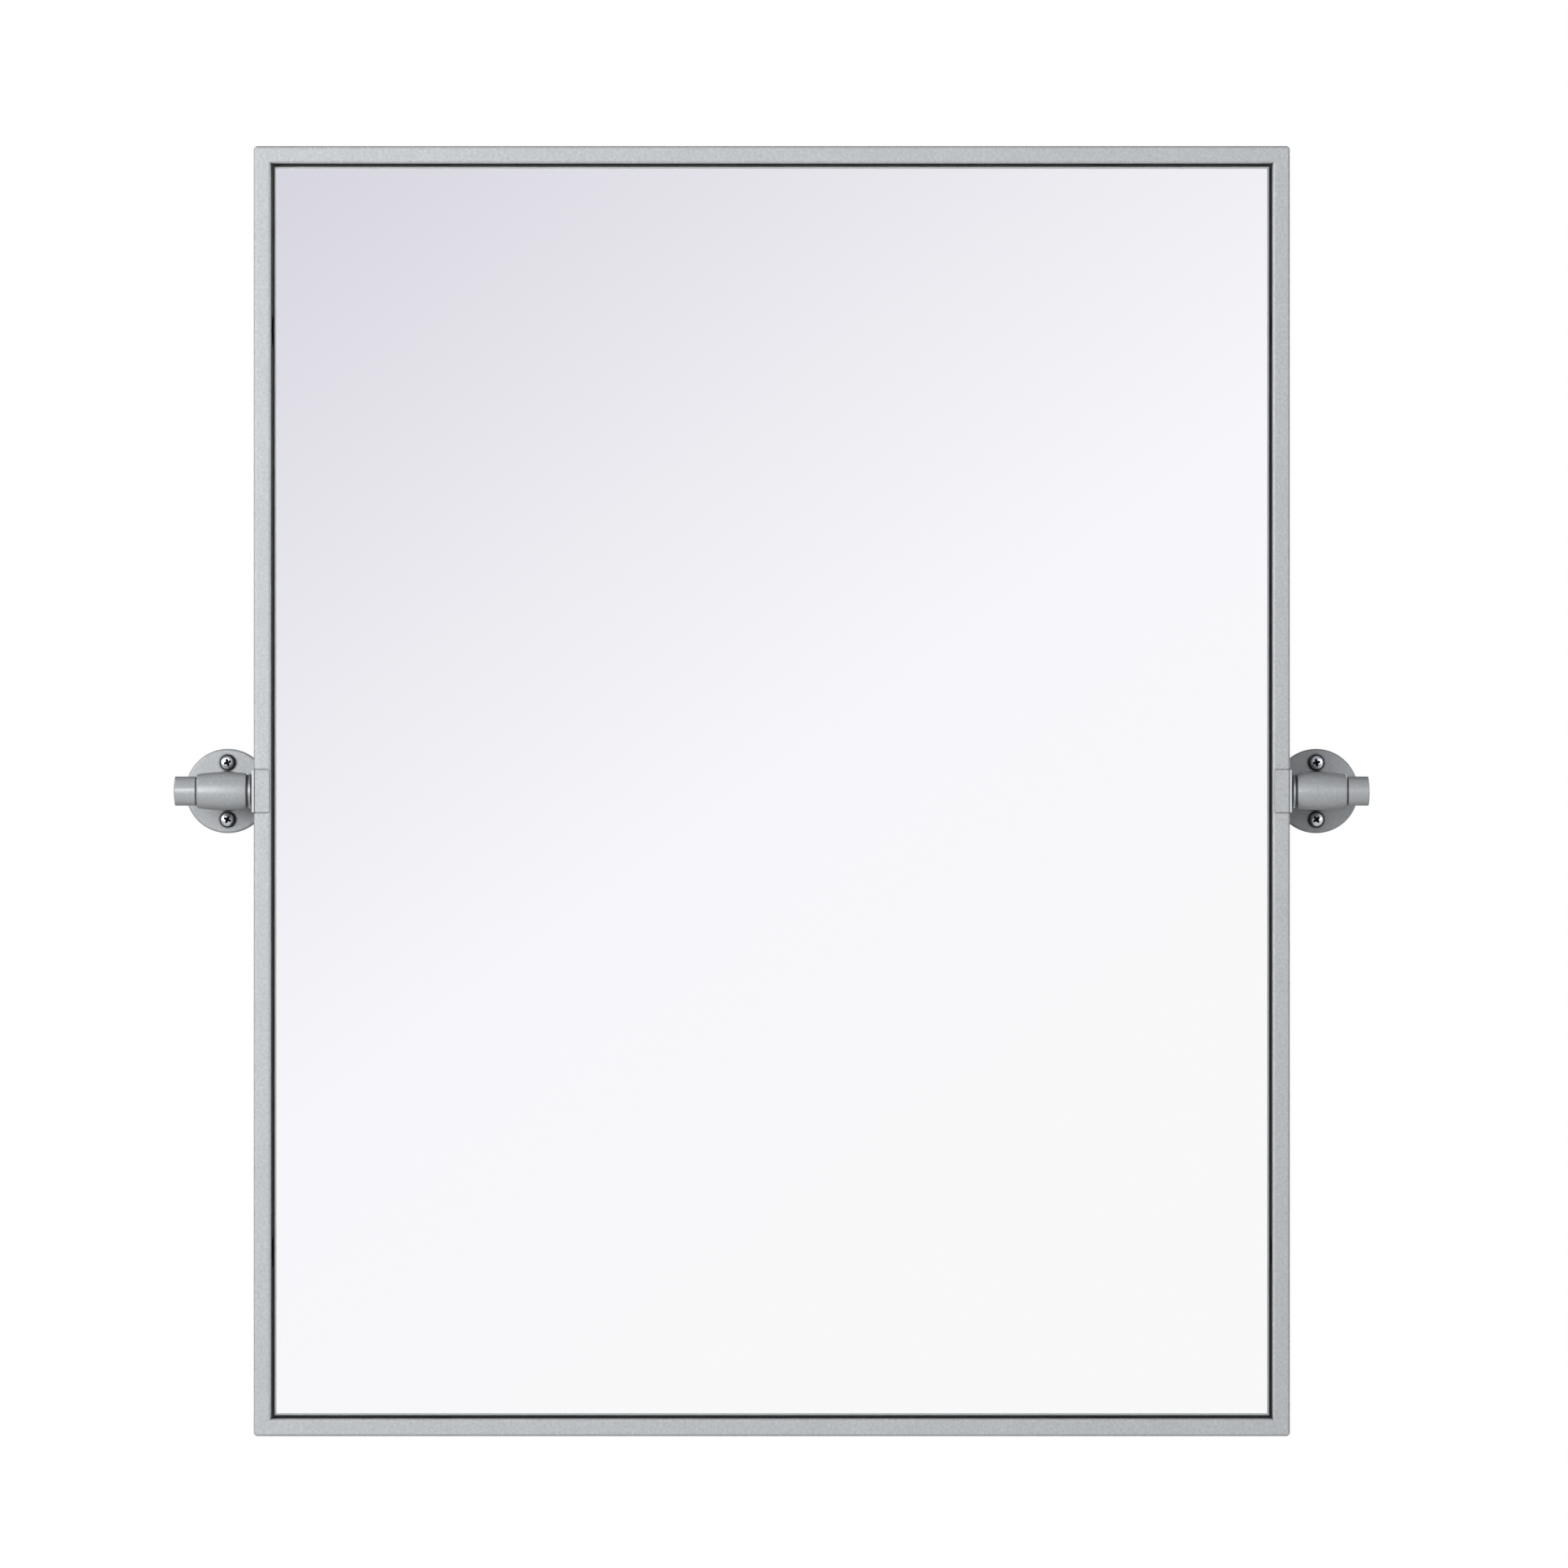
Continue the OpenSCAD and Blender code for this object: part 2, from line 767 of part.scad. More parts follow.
horizontal_rail(1);  // frame_rail_top
horizontal_rail(0);  // frame_rail_bottom
stile(left);  // frame_stile_left
stile(right);  // frame_stile_right
mirror_glass();
foam_tape_strips();
backing_board();
offset_clips();
rail_screws();
board_screws();
pivot_block(left);  // pivot_block_left
pivot_block(right);  // pivot_block_right
saddle_clip(left);  // saddle_clip_left
saddle_clip(right);  // saddle_clip_right
friction_washer(left);  // friction_washer_left
friction_washer(right);  // friction_washer_right
steel_washer(left);  // steel_washer_left
steel_washer(right);  // steel_washer_right
inner_bush(left);  // inner_bush_left
inner_bush(right);  // inner_bush_right
outer_bush(left);  // outer_bush_left
outer_bush(right);  // outer_bush_right
wall_bracket(left);  // wall_bracket_left
wall_bracket(right);  // wall_bracket_right
knob(left);  // knob_left
knob(right);  // knob_right
pivot_stud(left);  // pivot_stud_left
pivot_stud(right);  // pivot_stud_right
wall_screws(left);  // wall_screws_left
wall_screws(right);  // wall_screws_right
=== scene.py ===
"""Finish, detailed screws, studio and camera for the pivot wall mirror."""
import math

import bmesh
import bpy
from mathutils import Matrix, Vector


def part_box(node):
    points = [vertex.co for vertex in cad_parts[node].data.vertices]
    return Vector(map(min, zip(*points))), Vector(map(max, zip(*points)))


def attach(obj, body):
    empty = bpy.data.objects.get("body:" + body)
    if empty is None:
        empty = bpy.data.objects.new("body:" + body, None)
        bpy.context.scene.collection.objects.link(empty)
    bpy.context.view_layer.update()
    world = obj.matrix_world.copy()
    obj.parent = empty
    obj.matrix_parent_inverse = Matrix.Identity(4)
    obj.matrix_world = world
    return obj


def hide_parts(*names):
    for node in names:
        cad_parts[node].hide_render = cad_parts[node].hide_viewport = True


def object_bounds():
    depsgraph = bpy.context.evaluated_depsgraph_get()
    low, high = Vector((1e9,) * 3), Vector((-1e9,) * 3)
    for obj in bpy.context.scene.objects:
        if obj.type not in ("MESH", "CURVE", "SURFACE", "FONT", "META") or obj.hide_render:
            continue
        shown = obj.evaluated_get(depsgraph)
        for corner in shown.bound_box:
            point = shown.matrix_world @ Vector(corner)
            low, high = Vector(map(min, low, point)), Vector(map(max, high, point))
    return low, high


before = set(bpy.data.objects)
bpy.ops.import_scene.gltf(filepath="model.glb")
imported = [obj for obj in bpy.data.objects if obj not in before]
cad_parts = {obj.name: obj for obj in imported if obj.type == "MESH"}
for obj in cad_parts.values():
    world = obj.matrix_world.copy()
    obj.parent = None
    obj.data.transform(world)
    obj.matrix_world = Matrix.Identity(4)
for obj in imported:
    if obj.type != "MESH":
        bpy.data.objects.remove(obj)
cad_low, cad_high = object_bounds()

MM = 0.001

# ---------- values: camera, as the photograph's view ----------
PHOTO_SPAN = 771.6 * MM          # width that the photograph spans at the front of the frame
CAMERA_DISTANCE = 4.5            # from the lens to the front of the frame
CAMERA_X = 6.0 * MM
CAMERA_Z = 3.5 * MM
SENSOR_WIDTH = 36.0

# ---------- values: studio ----------
FLOOR_DROP = 0.95                # below the lowest edge of the mirror
FLOOR_RADIUS = 2.4
FLOOR_LIFT = 0.78                # how far the floor that is seen is lifted towards white
FLOOR_LIFT_FROM = 0.84           # it is lifted more from this distance on
FLOOR_LIFT_TO = 2.328            # and is plain white from this one on
AMBIENT = 0.18                   # world light on matt surfaces, from the front and the sides
LAMPS = (                        # name, place, size and power
    ("key", (-1.32, -2.38, 0.38), (1.8, 0.7), 48.0),
    ("fill", (1.35, -2.3, 0.30), (0.9, 0.7), 8.5),
    ("back", (1.8, 2.5, 0.9), (2.0, 2.0), 50.0),
    ("top", (-1.9, 0.2, 1.8), (1.2, 1.2), 15.0),
)
# the surroundings grow dull away from the front and the sides, by the cosine of the angle to them
DULL_FROM = 0.80
DULL_TO = 0.30
DULL_SHARE = 0.30
# what the mirror shows: the studio fades from white to a lavender grey towards its upper left;
# each stop is a place along the axis and the colour there
FADE_AXIS = (-0.588, 0.0, 0.809)
FADE_STOPS = (
    (-0.045, (250, 250, 251)),
    (0.000, (249, 248, 253)),
    (0.035, (238, 237, 243)),
    (0.085, (217, 216, 226)),
    (0.500, (204, 203, 213)),
)
BACKGROUND_RAYS = ("Is Camera Ray", "Is Glossy Ray", "Is Transmission Ray")
WHITE = (1.0, 1.0, 1.0, 1.0)

# ---------- values: finishes ----------
NOISE_LOW = 0.3                  # most of a noise lies between these
NOISE_HIGH = 0.7
PATCH_LOW = 0.35                 # patches with firmer edges lie between these
PATCH_HIGH = 0.65
FLAKE_SIZE = 0.38 * MM           # silver-grey paint
FLAKE_FROM = 0.90                # flakes show where a cell's grey is above this
FLAKE_TO = 0.99
FLAKE_SHARE = 0.42
GRAIN_SIZE = 1.5 * MM
CLOUD_SIZE = 18 * MM
CLOUD_SHARE = 0.02               # by which its clouds are lighter or darker
SATIN_SIZE = 2.5 * MM            # its roughness changes over this
SATIN_SHARE = 0.04               # by this, either way
PEEL_SIZE = 1.3 * MM
PEEL_DEPTH = 0.010 * MM
WAVE_SIZE = 9 * MM
PAINT_METAL = 0.2
PAINT_SPECULAR = 0.25
SLANT_PAINTED_SHADE = 0.5                # painted shade: what is left of the paint's colour at a slant, where the surface turns from the camera
SLANT_FROM = 0.25                # where that begins: 0 is face on and 1 is edge on
SLANT_TO = 0.95
CREVICE_REACH = 1.2 * MM
CREVICE_PAINTED_SHADE = 0.3              # painted shade: what is left of the paint's colour deep in a crevice, standing in for its shadow
CREVICE_DEEP = 0.5               # how open a spot is where the shade is full
CREVICE_OPEN = 0.97              # and where it ends
CREVICE_SAMPLES = 8
HIGHLIGHT_WIDTH = 1.1 * MM            # painted highlight on a saddle clip: a lighter strip from its outermost side inwards
HIGHLIGHT_WIDTH_FADE = 0.15 * MM
HIGHLIGHT_DEPTH = 0.5 * MM            # and from its front backwards
HIGHLIGHT_DEPTH_FADE = 0.2 * MM
HIGHLIGHT_SHARE = 0.4
GLASS_ARRIS = 1.0 * MM           # width of the ground bevel round the glass
ARRIS_FADE_FROM = 0.02 * MM      # it fades into the silver over this much beyond its width
ARRIS_FADE_TO = 0.06 * MM
ARRIS_ROUGHNESS = 0.6
SILVER = (0.985, 0.985, 0.985, 1)
HAZE_SIZE = 60 * MM
HAZE_LEAST = 0.004               # roughness of the silver
HAZE_MOST = 0.012

# ---------- values: screws ----------
ROSETTE_T = 3.2 * MM                                        # the wall screws' heads stand on it
# radii of the head, the neck, and the thread's root and crest; its pitch, and its point's length
WALL_SCREW = {"head_r": 3.95 * MM, "neck": 1.9 * MM, "root": 1.35 * MM, "crest": 2.1 * MM,
              "pitch": 1.7 * MM, "point": 5.0 * MM}
WALL_SCREW_TURNS = {"left": (17, -24), "right": (12, 38)}   # how each cross stands, in degrees
CLIP_SCREW = {"head_r": 2.9 * MM, "neck": 1.0 * MM, "root": 0.85 * MM, "crest": 1.3 * MM,
              "pitch": 0.95 * MM, "point": 1.6 * MM}
CLIP_SCREW_LENGTH = 6.0 * MM
CLIP_SCREW_SEAT = 0.3 * MM                                  # smooth neck under the head
CLIP_SCREW_TURN = 37                                        # degrees from one cross to the next
HEAD_SQUARENESS = 2.7                                       # 2 is a dome, more is a flatter pan head
HEAD_SIDE = 0.34                                            # straight share of the head's height
RECESS_ARM = 0.50                                           # cross, as a share of the head's radius
RECESS_WIDTH = 0.25
RECESS_DEPTH = 0.60                                         # as a share of the head's height
CORNER_WIDENING = 1.45                                      # the cross is wider where its arms meet
HEAD_SHADE_FROM = 0.82                                      # the rim outside this share gets the painted shade
HEAD_RIM = 0.07                                             # bevel under the head, share of its radius
HEAD_STEPS = 14                                             # rings from the rim to near the axis
SCREW_SIDES = 48
THREAD_PROFILE = ((0.0, 0), (0.30, 1), (0.40, 1), (0.70, 0))  # share of a pitch, root 0 or crest 1
THREAD_START = 0.2                                          # smooth part before it, share of a pitch
THREAD_RUN_IN = 1.5                                         # pitches that it takes to full height
POINT_CURVE = 0.8                                           # 1 is a cone, less is a rounder point
POINT_RADIUS = 0.02 * MM
SUNK_SHARE = 0.02                                           # of the head's height: deeper is recess
RECESS_REACH = 0.7                                          # of its radius: further out is not
SMOOTH_ANGLE = math.radians(32)                             # a sharper edge is shaded as an edge


def linear(colour):
    """An sRGB colour, 0 to 255, as linear RGBA."""
    def decode(c):
        c /= 255
        return c / 12.92 if c <= 0.04045 else ((c + 0.055) / 1.055) ** 2.4
    return (*(decode(c) for c in colour), 1.0)


# ---------- node helpers ----------
class Nodes:
    """A node tree with short calls for its nodes. A value is a socket or a number or colour."""

    def __init__(self, tree):
        self.tree = tree

    def add(self, kind, **values):
        """Adds a node and sets its own values."""
        node = self.tree.nodes.new(kind)
        for name, value in values.items():
            setattr(node, name, value)
        return node

    def link(self, source, target):
        self.tree.links.new(source, target)

    def feed(self, socket, value):
        """Links a socket to an input, or sets the input to a number or colour."""
        if isinstance(value, bpy.types.NodeSocket):
            self.link(value, socket)
        else:
            socket.default_value = value

    def math(self, operation, a, b=0.0):
        """The result of an operation on one or two values."""
        node = self.add("ShaderNodeMath", operation=operation)
        self.feed(node.inputs[0], a)
        self.feed(node.inputs[1], b)
        return node.outputs[0]

    def remap(self, value, low, high, to_low, to_high, smooth=False):
        """Maps low...high to to_low...to_high, and holds the ends beyond."""
        node = self.add("ShaderNodeMapRange", interpolation_type="SMOOTHSTEP" if smooth else "LINEAR")
        self.link(value, node.inputs["Value"])
        ends = {"From Min": low, "From Max": high, "To Min": to_low, "To Max": to_high}
        for name, number in ends.items():
            node.inputs[name].default_value = number
        return node.outputs["Result"]

    def spread(self, noise, to_low, to_high):
        """Maps most of a noise to to_low...to_high."""
        return self.remap(noise, NOISE_LOW, NOISE_HIGH, to_low, to_high)

    def mix(self, factor, a, b, blend="MIX"):
        """Mixes two colours."""
        node = self.add("ShaderNodeMix", data_type="RGBA", blend_type=blend)
        self.feed(node.inputs[0], factor)
        self.feed(node.inputs[6], a)
        self.feed(node.inputs[7], b)
        return node.outputs[2]

    def axes(self, vector):
        """The X, Y and Z of a vector."""
        node = self.add("ShaderNodeSeparateXYZ")
        self.link(vector, node.inputs[0])
        return node.outputs

    def ray(self, *kinds):
        """1 for rays of any of these kinds, such as Is Camera Ray."""
        path = self.add("ShaderNodeLightPath")
        either = path.outputs[kinds[0]]
        for kind in kinds[1:]:
            either = self.math("MAXIMUM", either, path.outputs[kind])
        return either


class Shader(Nodes):
    """A new material and its nodes; `place` is the point in the object's own metres."""

    def __init__(self, name):
        self.material = bpy.data.materials.new(name)
        self.material.use_nodes = True
        super().__init__(self.material.node_tree)
        self.surface = self.tree.nodes["Principled BSDF"]
        self.place = self.add("ShaderNodeTexCoord").outputs["Object"]

    def noise(self, size, detail=2.0, roughness=0.5, stretch=(1, 1, 1)):
        """Noise whose features are about `size` metres wide."""
        mapping = self.add("ShaderNodeMapping")
        mapping.inputs["Scale"].default_value = stretch
        self.link(self.place, mapping.inputs["Vector"])
        node = self.add("ShaderNodeTexNoise")
        self.link(mapping.outputs["Vector"], node.inputs["Vector"])
        node.inputs["Scale"].default_value = 1 / size
        node.inputs["Detail"].default_value = detail
        node.inputs["Roughness"].default_value = roughness
        return node.outputs["Fac"]

    def cells(self, size):
        """A random grey for each cell, about `size` metres wide."""
        node = self.add("ShaderNodeTexVoronoi")
        self.link(self.place, node.inputs["Vector"])
        node.inputs["Scale"].default_value = 1 / size
        grey = self.add("ShaderNodeSeparateColor")
        self.link(node.outputs["Color"], grey.inputs["Color"])
        return grey.outputs["Red"]

    def bump(self, height, depth, after=None):
        """Relief of `depth` metres; `after` is a bump that comes first."""
        node = self.add("ShaderNodeBump")
        node.inputs["Distance"].default_value = depth
        self.link(height, node.inputs["Height"])
        if after is not None:
            self.link(after, node.inputs["Normal"])
        return node.outputs["Normal"]

    def painted_crevice_shade(self, reach, darkest):
        """Painted shade: 1 in the open, down to `darkest` where another surface comes within `reach`
        metres, standing in for the shadow there.
        """
        node = self.add("ShaderNodeAmbientOcclusion", samples=CREVICE_SAMPLES)
        node.inputs["Distance"].default_value = reach
        return self.remap(node.outputs["AO"], CREVICE_DEEP, CREVICE_OPEN, darkest, 1)

    def painted_slant_shade(self, darkest):
        """Painted shade: 1 face on, down to `darkest` where the surface turns away from the camera."""
        node = self.add("ShaderNodeLayerWeight")
        return self.remap(node.outputs["Facing"], SLANT_FROM, SLANT_TO, 1, darkest)

    def set(self, **values):
        """Sets the surface's inputs; words are joined by underscores."""
        for name, value in values.items():
            self.feed(self.surface.inputs[name.replace("_", " ")], value)
        return self.material


# ---------- finishes ----------
def sparkle_paint(name, colour, rough, waviness, mottle, edge_highlight=False):
    """Silver-grey stoved paint with fine flakes and a faint orange peel.

    It has painted shade: it is darker in crevices and where parts meet, and darker at a slant, where
    the surface turns away from the camera. `waviness` is the depth of its waves in metres, and
    `mottle` the share by which its grain is lighter or darker.
    """
    s = Shader(name)
    cloud = s.spread(s.noise(CLOUD_SIZE, detail=2), 1 - CLOUD_SHARE, 1 + CLOUD_SHARE)
    grain = s.spread(s.noise(GRAIN_SIZE, detail=3), 1 - mottle, 1 + mottle)
    paint = s.mix(1.0, linear(colour), cloud, "MULTIPLY")
    paint = s.mix(1.0, paint, grain, "MULTIPLY")
    flakes = s.remap(s.cells(FLAKE_SIZE), FLAKE_FROM, FLAKE_TO, 0, FLAKE_SHARE)
    paint = s.mix(flakes, paint, linear((226, 229, 231)))
    if edge_highlight:
        # painted highlight along the front edge of the clip's side plate
        paint = s.mix(painted_highlight_strip(s), paint, linear((236, 239, 240)))
    # painted shade in crevices and where parts meet
    paint = s.mix(1.0, paint, s.painted_crevice_shade(CREVICE_REACH, CREVICE_PAINTED_SHADE), "MULTIPLY")
    # painted shade where the surface turns away from the camera
    paint = s.mix(1.0, paint, s.painted_slant_shade(SLANT_PAINTED_SHADE), "MULTIPLY")
    peel = s.bump(s.noise(PEEL_SIZE, detail=1), PEEL_DEPTH)
    wave = s.bump(s.noise(WAVE_SIZE, detail=1), waviness, after=peel)
    roughness = s.spread(s.noise(SATIN_SIZE), rough - SATIN_SHARE, rough + SATIN_SHARE)
    return s.set(Base_Color=paint, Metallic=PAINT_METAL, Roughness=roughness,
                 Specular_IOR_Level=PAINT_SPECULAR, Normal=wave)


def painted_highlight_strip(s):
    """Painted highlight: a lighter strip along the front edge of a saddle clip's side plate, for the
    light its bend catches.
    """
    place = s.axes(s.place)
    low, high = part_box("saddle_clip_right")
    away = s.math("ABSOLUTE", place["X"])
    inner = high.x - HIGHLIGHT_WIDTH
    rear = low.y + HIGHLIGHT_DEPTH
    outside = s.remap(away, inner - HIGHLIGHT_WIDTH_FADE, inner, 0, HIGHLIGHT_SHARE)
    in_front = s.remap(place["Y"], rear - HIGHLIGHT_DEPTH_FADE, rear, 1, 0)
    return s.math("MULTIPLY", outside, in_front)


def mirror_silver():
    """Silvering behind clear glass; the ground arris and the edge are frosted and faintly green."""
    s = Shader("mirror_silver")
    edge = distance_to_edge(s, *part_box("mirror_glass"))
    arris = s.remap(edge, GLASS_ARRIS + ARRIS_FADE_FROM, GLASS_ARRIS + ARRIS_FADE_TO, 1, 0)
    colour = s.mix(arris, SILVER, linear((222, 227, 225)))
    haze = s.remap(s.noise(HAZE_SIZE, detail=2), 0.4, 0.6, HAZE_LEAST, HAZE_MOST)
    # the arris is rough, and what the mirror throws onto the frame is soft
    soft = s.math("MAXIMUM", arris, s.ray("Is Diffuse Ray", "Is Glossy Ray"))
    roughness = s.math("ADD", haze, s.math("MULTIPLY", soft, ARRIS_ROUGHNESS))
    return s.set(Base_Color=colour, Metallic=s.remap(arris, 0, 1, 1, 0), Roughness=roughness)


def distance_to_edge(s, low, high):
    """Distance from the nearest of a plate's four edges, in metres."""
    place = s.axes(s.place)
    beside = s.math("SUBTRACT", (high - low).x / 2, s.math("ABSOLUTE", place["X"]))
    above = s.math("SUBTRACT", (high - low).z / 2, s.math("ABSOLUTE", place["Z"]))
    return s.math("MINIMUM", beside, above)


def black_backing():
    """Hardboard sealed with thin black paint: short fibres and paler rubbed patches show through."""
    s = Shader("black_backing")
    fibres = s.noise(1.8 * MM, detail=4, roughness=0.65, stretch=(1, 1, 0.35))
    rubbed = s.remap(s.noise(30 * MM, detail=4, roughness=0.6), 0.48, 0.72, 0, 0.38)
    paint = s.mix(s.spread(fibres, 0, 1), linear((26, 26, 28)), linear((48, 48, 51)))
    paint = s.mix(rubbed, paint, linear((78, 77, 76)))
    relief = s.bump(fibres, 0.12 * MM)
    return s.set(Base_Color=paint, Roughness=s.spread(fibres, 0.42, 0.68), Normal=relief)


def grey_foam():
    """Closed-cell foam with fine pores."""
    s = Shader("grey_foam")
    pores = s.cells(0.5 * MM)
    colour = s.mix(pores, linear((62, 64, 68)), linear((98, 100, 104)))
    return s.set(Base_Color=colour, Roughness=0.95, Normal=s.bump(pores, 0.08 * MM))


def black_nylon():
    """Moulded nylon with a faint satin grain."""
    s = Shader("black_nylon")
    grain = s.noise(0.35 * MM, detail=2)
    colour = s.mix(grain, linear((38, 39, 41)), linear((52, 53, 55)))
    return s.set(Base_Color=colour, Roughness=s.spread(grain, 0.42, 0.58),
                 Normal=s.bump(grain, 0.01 * MM))


def zinc_plate():
    """Zinc-plated sheet and turned steel: bluish with faint straw patches and fine rolling lines."""
    s = Shader("zinc_plate")
    patches = s.remap(s.noise(7 * MM, detail=2), PATCH_LOW, PATCH_HIGH, 0, 1)
    colour = s.mix(patches, linear((160, 165, 171)), linear((178, 177, 169)))
    lines = s.noise(0.5 * MM, detail=2, stretch=(1, 1, 0.08))
    return s.set(Base_Color=colour, Metallic=1.0, Roughness=s.spread(lines, 0.34, 0.50),
                 Normal=s.bump(lines, 0.008 * MM))


def bright_washer():
    """Nickel-plated washer with fine turning marks."""
    s = Shader("bright_washer")
    marks = s.noise(0.3 * MM, detail=2, stretch=(0.2, 1, 1))
    colour = s.mix(marks, linear((158, 161, 163)), linear((182, 184, 186)))
    return s.set(Base_Color=colour, Metallic=1.0, Roughness=s.spread(marks, 0.46, 0.60),
                 Normal=s.bump(marks, 0.004 * MM))


def screw_steel(name, dark, light, rough):
    """Plated screw steel with small scuffs."""
    s = Shader(name)
    scuffs = s.noise(0.6 * MM, detail=4, roughness=0.7)
    patches = s.remap(scuffs, PATCH_LOW, PATCH_HIGH, 0, 1)
    colour = s.mix(patches, linear(dark), linear(light))
    return s.set(Base_Color=colour, Metallic=1.0,
                 Roughness=s.spread(scuffs, rough - 0.06, rough + 0.06),
                 Normal=s.bump(scuffs, 0.006 * MM))


# ---------- screws ----------
def revolve(bm, profile, sides):
    """Rings of a lathe along +Z; profile is [(radius, height)], outside first. Returns the rings."""
    angles = [math.tau * i / sides for i in range(sides)]
    rings = []
    for radius, height in profile:
        rings.append([
            bm.verts.new((radius * math.cos(angle), radius * math.sin(angle), height))
            for angle in angles
        ])
    for a, b in zip(rings, rings[1:]):
        for i in range(sides):
            j = (i + 1) % sides
            bm.faces.new((a[i], a[j], b[j], b[i]))
    return rings


def pan_height(radius, height, away):
    """Height of a pan head's top at `away` from its axis."""
    side = HEAD_SIDE * height
    share = min(1.0, away / radius)
    return side + (height - side) * (1 - share ** HEAD_SQUARENESS) ** (1 / HEAD_SQUARENESS)


def pan_profile(radius, height):
    """Side and top of a pan head that stands on z = 0, from its underside to near its axis."""
    rim = HEAD_RIM * radius
    points = [(radius - rim, 0), (radius, rim)]
    for k in range(HEAD_STEPS):
        away = radius * math.cos(k / HEAD_STEPS * math.pi / 2) ** (2 / HEAD_SQUARENESS)
        points.append((away, pan_height(radius, height, away)))
    return points


def cross_cutter(arm, width, depth, top):
    """A tapered cross, the form of a Phillips recess, that reaches `depth` below z = top."""
    bm = bmesh.new()
    # share of the arm, share of the width, and height
    sections = ((1.18, 1.15, top + 0.6 * depth), (1.0, 1.0, top), (0.52, 0.62, top - 0.75 * depth))
    rings = []
    for length, breadth, height in sections:
        a, w = arm * length, width * breadth / 2
        corner = w * CORNER_WIDENING
        outline = []
        for quarter in range(4):
            turn = Matrix.Rotation(quarter * math.pi / 2, 3, "Z")
            for x, y in ((a, -w), (a, w), (corner, corner)):
                outline.append(bm.verts.new(turn @ Vector((x, y, height))))
        rings.append(outline)
    bm.faces.new(rings[0])
    count = len(rings[0])
    for a, b in zip(rings, rings[1:]):
        for i in range(count):
            j = (i + 1) % count
            bm.faces.new((a[i], b[i], b[j], a[j]))
    tip = bm.verts.new((0, 0, top - depth))
    for i in range(count):
        bm.faces.new((rings[-1][(i + 1) % count], rings[-1][i], tip))
    bmesh.ops.recalc_face_normals(bm, faces=bm.faces)
    mesh = bpy.data.meshes.new("cross_cutter")
    bm.to_mesh(mesh)
    bm.free()
    return mesh


def threaded_shank(bm, top_ring, start, end, root, crest, pitch, point):
    """Threads the shank from z = start down to z = end, its last `point` metres tapered."""
    sides = len(top_ring)
    steps = len(THREAD_PROFILE)
    turns = math.floor((start - end) / pitch)
    rows = (turns - 1) * steps

    def vertex(row, column):
        share, high = THREAD_PROFILE[row % steps]
        drop = (row // steps + share + column / sides) * pitch
        height = start - drop
        ramp = min(1.0, drop / (THREAD_RUN_IN * pitch))
        radius = root + (crest - root) * high * ramp
        taper = min(1.0, max(0.0, (height - end) / point))
        angle = math.tau * column / sides
        radius = max(radius * taper ** POINT_CURVE, POINT_RADIUS)
        return bm.verts.new((radius * math.cos(angle), radius * math.sin(angle), height))

    grid = [[vertex(row, column) for column in range(sides)] for row in range(rows + 1)]
    for row in range(rows):
        for column in range(sides - 1):
            bm.faces.new((grid[row][column], grid[row + 1][column],
                          grid[row + 1][column + 1], grid[row][column + 1]))
        # the last column meets the first one a turn further down
        if row + 1 + steps <= rows:
            bm.faces.new((grid[row][-1], grid[row + 1][-1],
                          grid[row + 1 + steps][0], grid[row + steps][0]))
    for column in range(sides - 1):
        bm.faces.new((top_ring[column], grid[0][column], grid[0][column + 1], top_ring[column + 1]))
    # the face at the step where the thread starts
    seam = [grid[row][0] for row in range(steps + 1)]
    bm.faces.new([top_ring[0], top_ring[-1], grid[0][-1], *reversed(seam)])
    # the thread's free end, closed to a tip
    edge = [*grid[rows], *(grid[rows - k][-1] for k in range(1, steps + 1))]
    tip = bm.verts.new((0, 0, end))
    for a, b in zip(edge, edge[1:] + edge[:1]):
        bm.faces.new((b, a, tip))


def phillips_screw(name, sizes, head_h, seat, length):
    """One screw along Z: its head stands on z = seat, its neck on z = 0, and its tip is at -length."""
    head_r = sizes["head_r"]
    pitch = sizes["pitch"]
    top = seat + head_h
    bm = bmesh.new()
    head = [(r, z + seat) for r, z in pan_profile(head_r, head_h)]
    rings = revolve(bm, [(sizes["neck"], 0), (sizes["neck"], seat), *head], SCREW_SIDES)
    crown = bm.verts.new((0, 0, top))
    for i in range(SCREW_SIDES):
        bm.faces.new((rings[-1][i], rings[-1][(i + 1) % SCREW_SIDES], crown))
    threaded_shank(bm, rings[0], -THREAD_START * pitch, -length, sizes["root"], sizes["crest"],
                   pitch, sizes["point"])
    bmesh.ops.recalc_face_normals(bm, faces=bm.faces)
    mesh = bpy.data.meshes.new(name)
    bm.to_mesh(mesh)
    bm.free()
    body = bpy.data.objects.new(name, mesh)
    recess = cross_cutter(RECESS_ARM * head_r, RECESS_WIDTH * head_r, RECESS_DEPTH * head_h, top)
    cutter = bpy.data.objects.new(name + "_cutter", recess)
    for thing in (body, cutter):
        bpy.context.scene.collection.objects.link(thing)
    cut = body.modifiers.new("recess", "BOOLEAN")
    cut.object = cutter
    cut.solver = "EXACT"
    bpy.context.view_layer.update()
    result = body.evaluated_get(bpy.context.evaluated_depsgraph_get())
    finished = bpy.data.meshes.new_from_object(result)
    for thing in (body, cutter):
        bpy.data.objects.remove(thing)
    darken_head(finished, head_r, head_h, seat)
    return finished


